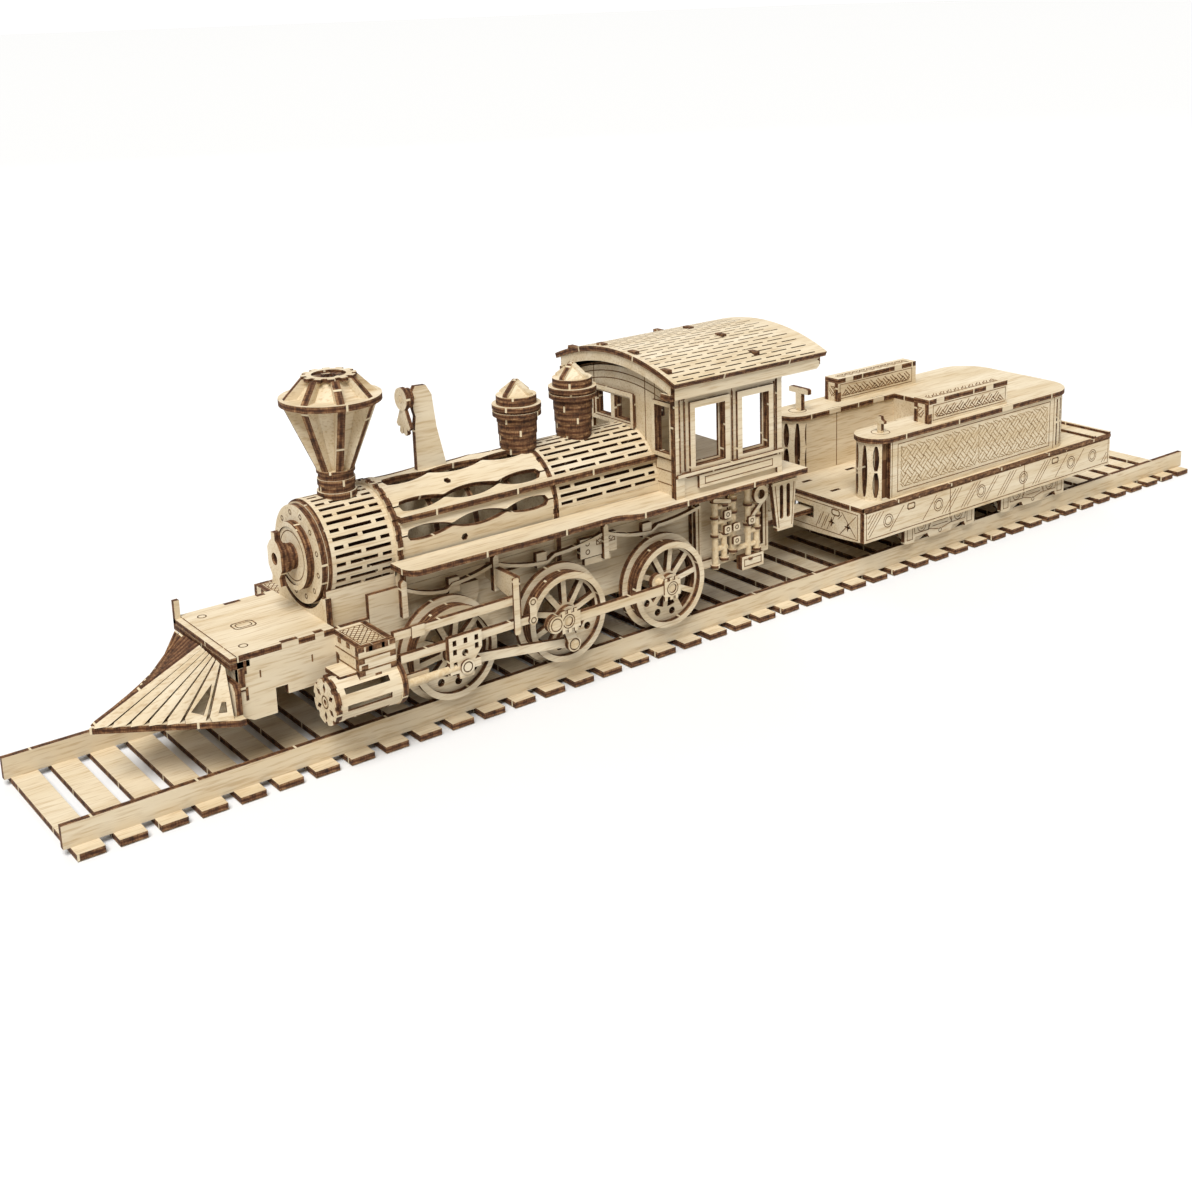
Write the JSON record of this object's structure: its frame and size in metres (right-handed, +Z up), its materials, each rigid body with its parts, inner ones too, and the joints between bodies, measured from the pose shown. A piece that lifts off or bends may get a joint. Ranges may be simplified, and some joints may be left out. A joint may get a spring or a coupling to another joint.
{
  "type": "slot-together wooden steam locomotive model",
  "caption": "Laser-cut plywood steam locomotive with pilot, balloon stack, rods and tender, built from slotted sheets and standing on a straight track.",
  "frame": {"origin": "middle of the track's footprint, on the surface it stands on", "axes": "+X along the track from the pilot to the tender, +Y to the far side in the picture, +Z up"},
  "size_m": [0.528, 0.0774, 0.1138],
  "materials": {
    "birch_ply": "matt",
    "scored_ply": "matt",
    "burnt_edge": "matt",
    "dowel": "matt"
  },
  "bodies": {
    "track": {"sleepers": "birch_ply", "rail_near": "birch_ply", "rail_far": "birch_ply"},
    "locomotive": {"pilot_base": "birch_ply", "pilot_slats": "burnt_edge", "front_deck": "birch_ply", "front_frame": "birch_ply", "saddle": "birch_ply", "steam_chests": "birch_ply", "cylinders": "burnt_edge", "motion_brackets": "birch_ply", "side_frames": "birch_ply", "smokebox_front": "birch_ply", "smokebox_wrap": "scored_ply", "chimney": "burnt_edge", "boiler_rings": "birch_ply", "boiler_lattice": "scored_ply", "boiler_wrap": "scored_ply", "bell_bracket": "birch_ply", "front_dome": "burnt_edge", "rear_dome": "burnt_edge", "running_boards": "birch_ply", "firebox": "birch_ply", "cab_floor": "birch_ply", "cab_front": "birch_ply", "cab_side_near": "birch_ply", "cab_side_far": "birch_ply", "cab_roof": "birch_ply", "cab_steps": "birch_ply", "injectors": "burnt_edge", "drawbar": "birch_ply"},
    "front_driver": {"front_axle": "dowel", "front_wheels": "birch_ply"},
    "mid_driver": {"mid_axle": "dowel", "mid_wheels": "birch_ply"},
    "rear_driver": {"rear_axle": "dowel", "rear_wheels": "birch_ply"},
    "side_rod_near": {"side_rod_near": "birch_ply"},
    "side_rod_far": {"side_rod_far": "birch_ply"},
    "main_rod_near": {"main_rod_near": "birch_ply"},
    "main_rod_far": {"main_rod_far": "birch_ply"},
    "crosshead_near": {"crosshead_near": "birch_ply"},
    "crosshead_far": {"crosshead_far": "birch_ply"},
    "bell": {"bell": "burnt_edge"},
    "tender": {"tender_deck": "birch_ply", "tender_valances": "birch_ply", "tank_arms": "scored_ply", "tank_rear": "scored_ply", "tank_top": "birch_ply", "toolboxes": "birch_ply", "tender_pins": "dowel"},
    "truck_front": {"truck_front": "birch_ply"},
    "truck_rear": {"truck_rear": "birch_ply"},
    "tender_axle_1": {"tender_axle_1": "birch_ply"},
    "tender_axle_2": {"tender_axle_2": "birch_ply"},
    "tender_axle_3": {"tender_axle_3": "birch_ply"},
    "tender_axle_4": {"tender_axle_4": "birch_ply"},
    "brake_handle": {"brake_handle": "birch_ply"},
    "water_valve": {"water_valve": "birch_ply"}
  },
  "joints": [
    {"name": "roll_along_track", "type": "slide", "parent": "track", "child": "locomotive", "axis": [1, 0, 0], "range_m": [-0.097, 0.0485]},
    {"name": "tender_follows", "type": "slide", "parent": "track", "child": "tender", "axis": [1, 0, 0], "range_m": [-0.097, 0.0485]},
    {"name": "front_driver_spin", "type": "hinge", "parent": "locomotive", "child": "front_driver", "pos_m": [-0.138, 0, 0.0245], "axis": [0, 1, 0], "range_deg": [-360, 180]},
    {"name": "mid_driver_spin", "type": "hinge", "parent": "locomotive", "child": "mid_driver", "pos_m": [-0.094, 0, 0.0245], "axis": [0, 1, 0], "range_deg": [-360, 180]},
    {"name": "rear_driver_spin", "type": "hinge", "parent": "locomotive", "child": "rear_driver", "pos_m": [-0.05, 0, 0.0245], "axis": [0, 1, 0], "range_deg": [-360, 180]},
    {"name": "side_rod_near_pin", "type": "hinge", "parent": "mid_driver", "child": "side_rod_near", "pos_m": [-0.0994, -0.036, 0.0269], "axis": [0, 1, 0], "range_deg": [-180, 360]},
    {"name": "main_rod_near_pin", "type": "hinge", "parent": "mid_driver", "child": "main_rod_near", "pos_m": [-0.0954, -0.0317, 0.0169], "axis": [0, 1, 0], "range_deg": [-180, 360]},
    {"name": "side_rod_far_pin", "type": "hinge", "parent": "mid_driver", "child": "side_rod_far", "pos_m": [-0.0994, 0.036, 0.0269], "axis": [0, 1, 0], "range_deg": [-180, 360]},
    {"name": "main_rod_far_pin", "type": "hinge", "parent": "mid_driver", "child": "main_rod_far", "pos_m": [-0.0954, 0.0317, 0.0169], "axis": [0, 1, 0], "range_deg": [-180, 360]},
    {"name": "crosshead_near_slide", "type": "slide", "parent": "locomotive", "child": "crosshead_near", "axis": [1, 0, 0], "range_m": [-0.0063, 0.0077]},
    {"name": "crosshead_far_slide", "type": "slide", "parent": "locomotive", "child": "crosshead_far", "axis": [1, 0, 0], "range_m": [-0.0063, 0.0077]},
    {"name": "bell_swing", "type": "hinge", "parent": "locomotive", "child": "bell", "pos_m": [-0.134, 0, 0.101], "axis": [1, 0, 0], "range_deg": [-35, 35]},
    {"name": "truck_front_swivel", "type": "hinge", "parent": "tender", "child": "truck_front", "pos_m": [0.091, 0, 0.026], "axis": [0, 0, 1], "range_deg": [-2, 2]},
    {"name": "truck_rear_swivel", "type": "hinge", "parent": "tender", "child": "truck_rear", "pos_m": [0.15, 0, 0.026], "axis": [0, 0, 1], "range_deg": [-2, 2]},
    {"name": "tender_axle_1_spin", "type": "hinge", "parent": "truck_front", "child": "tender_axle_1", "pos_m": [0.08, 0, 0.016], "axis": [0, 1, 0], "range_deg": [-800, 400]},
    {"name": "tender_axle_2_spin", "type": "hinge", "parent": "truck_front", "child": "tender_axle_2", "pos_m": [0.102, 0, 0.016], "axis": [0, 1, 0], "range_deg": [-800, 400]},
    {"name": "tender_axle_3_spin", "type": "hinge", "parent": "truck_rear", "child": "tender_axle_3", "pos_m": [0.139, 0, 0.016], "axis": [0, 1, 0], "range_deg": [-800, 400]},
    {"name": "tender_axle_4_spin", "type": "hinge", "parent": "truck_rear", "child": "tender_axle_4", "pos_m": [0.161, 0, 0.016], "axis": [0, 1, 0], "range_deg": [-800, 400]},
    {"name": "brake_handle_turn", "type": "hinge", "parent": "tender", "child": "brake_handle", "pos_m": [0.0645, 0.0229, 0.0564], "axis": [0, 0, 1], "range_deg": [-90, 90]},
    {"name": "water_valve_turn", "type": "hinge", "parent": "tender", "child": "water_valve", "pos_m": [0.063, -0.0229, 0.0564], "axis": [0, 0, 1], "range_deg": [-90, 90]}
  ],
  "couplings": [
    {"joint": "tender_follows", "follows": "roll_along_track", "ratio": 1},
    {"joint": "front_driver_spin", "follows": "roll_along_track", "rad_per_m": 64.725},
    {"joint": "mid_driver_spin", "follows": "roll_along_track", "rad_per_m": 64.725},
    {"joint": "rear_driver_spin", "follows": "roll_along_track", "rad_per_m": 64.725},
    {"joint": "side_rod_near_pin", "follows": "roll_along_track", "rad_per_m": -64.725},
    {"joint": "main_rod_near_pin", "follows": "roll_along_track", "rad_per_m": -64.725},
    {"joint": "side_rod_far_pin", "follows": "roll_along_track", "rad_per_m": -64.725},
    {"joint": "main_rod_far_pin", "follows": "roll_along_track", "rad_per_m": -64.725},
    {"joint": "tender_axle_1_spin", "follows": "roll_along_track", "rad_per_m": 143.88},
    {"joint": "tender_axle_2_spin", "follows": "roll_along_track", "rad_per_m": 143.88},
    {"joint": "tender_axle_3_spin", "follows": "roll_along_track", "rad_per_m": 143.88},
    {"joint": "tender_axle_4_spin", "follows": "roll_along_track", "rad_per_m": 143.88}
  ]
}
